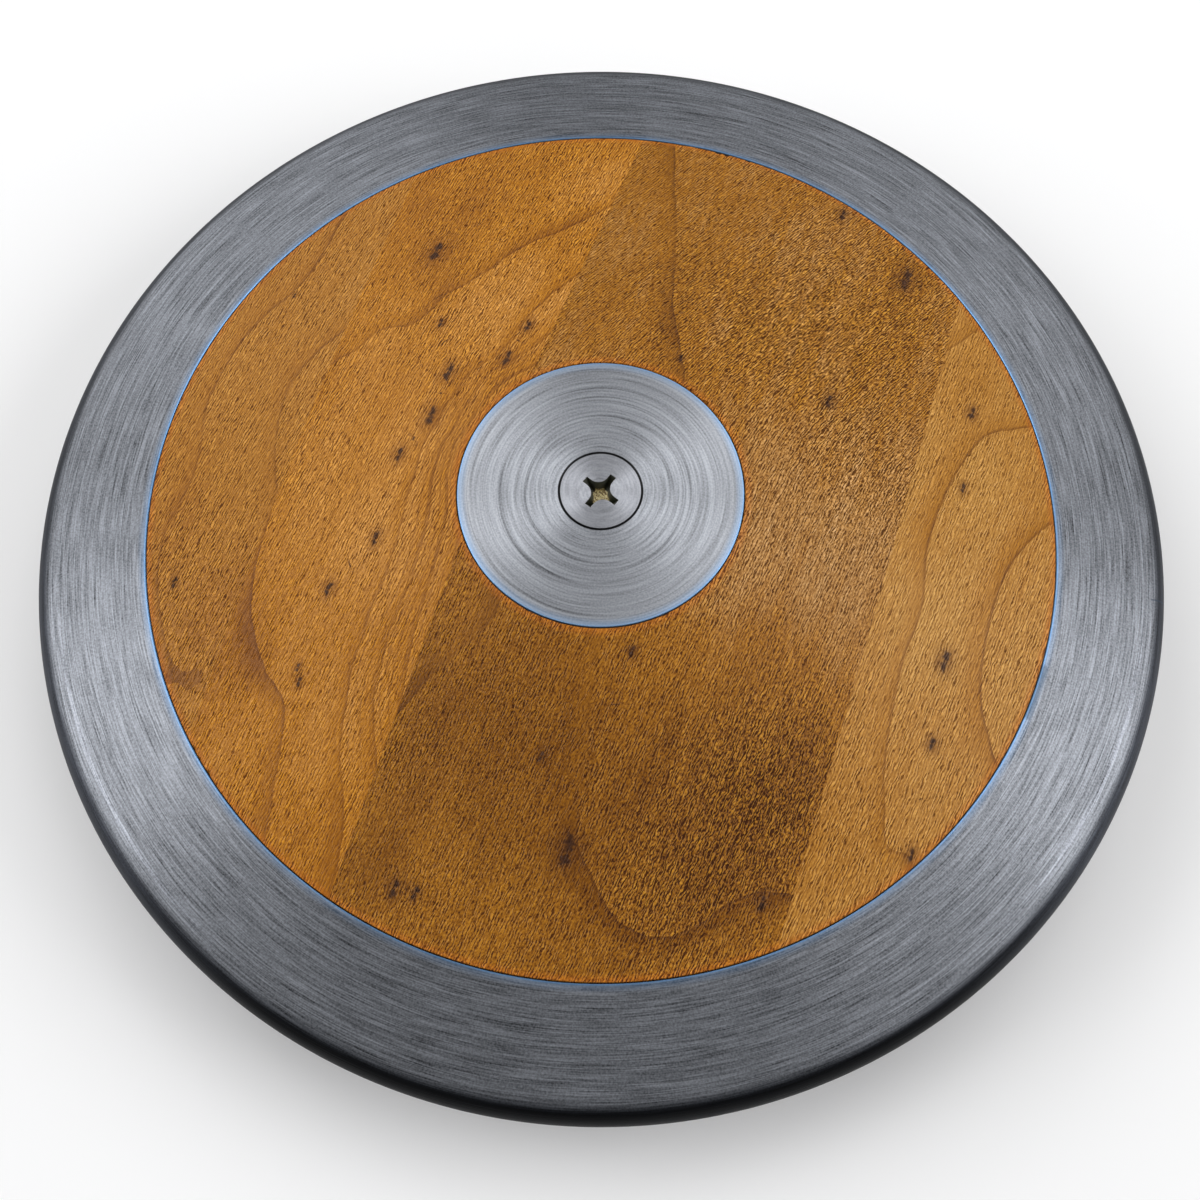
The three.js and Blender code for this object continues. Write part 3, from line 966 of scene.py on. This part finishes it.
def screw_angles():
    """Angles round the screw, drawn together at the wings' corners so that they come out sharp."""
    corner = np.arctan2(recess_wing_half, recess_reach)
    meet = np.arctan2(recess_wing_half, flank_centre)
    eighth = np.concatenate([
        np.linspace(0, corner, wing_end_steps)[:-1], np.linspace(corner, meet, wing_side_steps)[:-1],
        np.linspace(meet, np.pi / 4, flank_steps)])
    quarter = np.concatenate([eighth, (np.pi / 2 - eighth[::-1])[1:-1]])
    return np.concatenate([quarter + turn * np.pi / 2 for turn in range(4)]) + recess_turn


def screw_rings(angle):
    """The screw as rings: out over the recess's floor, up its sloping wall, out over the head to its
    corner, down the countersunk cone and the shank, and in to the tip."""
    cross = recess_reach_at(angle)
    top, floor, tip = half_thickness, half_thickness - recess_depth, half_thickness - screw_length
    rings = [
        (cross * recess_bottom_share * share, floor - recess_cone_depth * (1 - share))
        for share in recess_floor_shares
    ]
    for share in np.linspace(0, 1, recess_wall_steps)[1:-1]:
        reach = recess_bottom_share + (1 - recess_bottom_share) * share
        rings.append((cross * reach, floor + recess_depth * share))
    rings += [(cross, top - recess_lip_drop), (cross + recess_lip, top)]
    for share in head_shares:
        rings.append(((cross + recess_lip) * (1 - share) + (head_radius - head_corner) * share, top))
    rings += [
        (head_radius - head_corner, top), (head_radius, top - head_corner), (shank_radius, top - head_depth),
        (shank_radius, tip + tip_chamfer), (shank_radius - tip_chamfer, tip),
    ]
    return rings_about_axis(rings, angle)


def capped(points, faces, first_height, last_height):
    """Closes the two ends of a set of rings, each with a fan of triangles to a point on the axis."""
    rings, turns = points.shape[:2]
    flat = np.concatenate([points.reshape(-1, 3), [[0, 0, first_height], [0, 0, last_height]]])
    here = np.arange(turns)
    beside = (here + 1) % turns
    last = (rings - 1) * turns
    first_fan = np.column_stack([np.full(turns, rings * turns), here, beside])
    last_fan = np.column_stack([np.full(turns, rings * turns + 1), last + beside, last + here])
    return flat, [*faces.tolist(), *first_fan.tolist(), *last_fan.tolist()]


screw_bump = 0.008 * MM
screw_grey = shown_colour(151, 153, 159)
recess_dark_tone, recess_pale_tone = shown_colour(14, 15, 11), shown_colour(72, 74, 56)
brass_dark, brass_bright = shown_colour(120, 84, 34), shown_colour(255, 242, 190)


def screw_finish():
    """The screw's bright faced head with old greasy dirt in the seam round its edge, and its recess by
    depth: near black flecked with olive on the walls, and brass-coloured filings on the floor."""
    rings = (2.2, 1.0, 0.6, 0.8, 0.12)
    finish, tree, shader, marks = turned_steel("screw_steel_faced", screw_grey, 0.9, rings, screw_bump)
    place = object_place(tree)
    radius = axis_distance(tree, parts_of(tree, place))
    depth = kept_values(tree, "depth")
    in_recess = ramped(tree, depth, 0.04, 0.16)
    specks = clouded(tree, place, 2600.0, 2.0, 0.6)
    # The recess walls: near black with olive flecks.
    wall_tone = mixed(tree, specks, recess_dark_tone, recess_pale_tone)
    brass = mixed(tree, ramped(tree, specks, 0.38, 0.56), brass_dark, brass_bright)
    filings = times(tree, falling(tree, radius, 1.5, 1.9), ramped(tree, depth, 2.0, 2.6))
    steel = mixed(tree, in_recess, marks.outputs["Colour"], mixed(tree, filings, wall_tone, brass))
    head_edge = head_radius / MM
    seam = ramped(tree, radius, head_edge - 0.14, head_edge - 0.04, 0.0, 0.9)
    tree.links.new(mixed(tree, seam, steel, seam_grease), shader.inputs["Base Color"])
    tree.links.new(maths(tree, "SUBTRACT", 1.0, in_recess), shader.inputs["Metallic"])
    return finish


angles = screw_angles()
screw_base = screw_rings(angles)
screw_faces = ring_faces(len(screw_base), len(angles), closed=False)
screw_points, screw_faces = capped(
    screw_base, screw_faces, half_thickness - recess_depth - recess_cone_depth, half_thickness - screw_length)
screw_across = np.hypot(*screw_points[:, :2].T) / MM
in_cross = screw_across < recess_reach / MM * 1.05
screw_depth = np.where(in_cross, half_thickness - screw_points[:, 2], 0) / MM
screw_steel = screw_finish()
for side, over in (("upper", 1), ("lower", -1)):
    points = screw_points * (over, 1, over) + middle
    screw = new_piece(f"{side}_screw_faced", points, screw_faces, screw_steel)
    keep_values(screw, "across", screw_across)
    keep_values(screw, "depth", screw_depth)
    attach(screw, "root")
    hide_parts(f"{side}_screw")


# The core sleeve, a tapped steel tube between the plates that both screws run into. It is a plain
# turned stock piece, hidden inside the wood, and keeps the frame's own shape.
sleeve_bump = 0.004 * MM
sleeve_grey = shown_colour(150, 151, 154)


def sleeve_finish():
    """Dull turned steel, whose rings follow its length."""
    rings = (3.0, 1.0, 2.0, 0.25, 0.15)
    finish, tree, shader, marks = turned_steel("sleeve_steel_turned", sleeve_grey, 0.4, rings, sleeve_bump)
    along = times(tree, parts_of(tree, object_place(tree))[2], 1 / MM)
    tree.links.new(along, marks.inputs["Across"])
    return finish


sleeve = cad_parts["core_sleeve"]
sleeve_steel = sleeve_finish()
for slot in sleeve.material_slots:
    slot.material = sleeve_steel


# The floor, a smooth white table top, far wider than the view.
floor_reach = 3.0
floor_paint, floor_clouds = shown_colour(250, 250, 250), shown_colour(248, 248, 249)


def floor_finish():
    """Matt white paint with a faint unevenness."""
    finish, tree, shader = new_finish("floor_white")
    tone = mixed(tree, clouded(tree, object_place(tree), 3.0), floor_paint, floor_clouds)
    feed_inputs(tree, shader, {"Base Color": tone, "Roughness": 0.9, "Specular IOR Level": 0.1})
    return finish


corners = np.array([[-1, -1, 0], [1, -1, 0], [1, 1, 0], [-1, 1, 0]]) * floor_reach
floor = new_piece("floor", corners, [[0, 1, 2, 3]], floor_finish())


# The light, eight round soft boxes in a plain grey room. They stand left, right and behind, and the
# side of the camera stays dim, as its reflections in the round edge show.
lamp_reach = 1.6
lamp_size = 1.04
room_level = 0.25
lamps = [
    ("lamp_left_low", 180.0, 32.0, 6.7),
    ("lamp_left_high", 180.0, 52.0, 1.8),
    ("lamp_right_low", -4.0, 32.0, 9.9),
    ("lamp_right_front", -34.0, 36.0, 2.6),
    ("lamp_back_left_low", 120.0, 32.0, 3.4),
    ("lamp_back_left_high", 150.0, 52.0, 3.8),
    ("lamp_back_right_high", 60.0, 52.0, 2.9),
    ("lamp_over", 60.0, 72.0, 3.9),
]


def make_lamp(name, side, elevation, watts):
    """A soft box that faces the disc. Its side counts counter-clockwise from the camera's right, so
    180 is left."""
    light = bpy.data.lights.new(name, "AREA")
    light.shape = "DISK"
    light.size = lamp_size
    light.energy = watts
    lamp = bpy.data.objects.new(name, light)
    bearing, height = np.radians(side) + view_azimuth, np.radians(elevation)
    level, lift = np.cos(height), np.sin(height)
    toward = Vector((np.cos(bearing) * level, np.sin(bearing) * level, lift))
    lamp.location = toward * lamp_reach
    lamp.rotation_euler = toward.to_track_quat("Z", "Y").to_euler()
    bpy.context.scene.collection.objects.link(lamp)


for lamp in lamps:
    make_lamp(*lamp)

room = bpy.data.worlds.new("room")
room.use_nodes = True
tree = room.node_tree
tree.nodes.clear()
grey_room = add_node(tree, "ShaderNodeBackground", {"Color": (1, 1, 1, 1), "Strength": room_level})
add_node(tree, "ShaderNodeOutputWorld", {"Surface": grey_room.outputs[0]})
bpy.context.scene.world = room
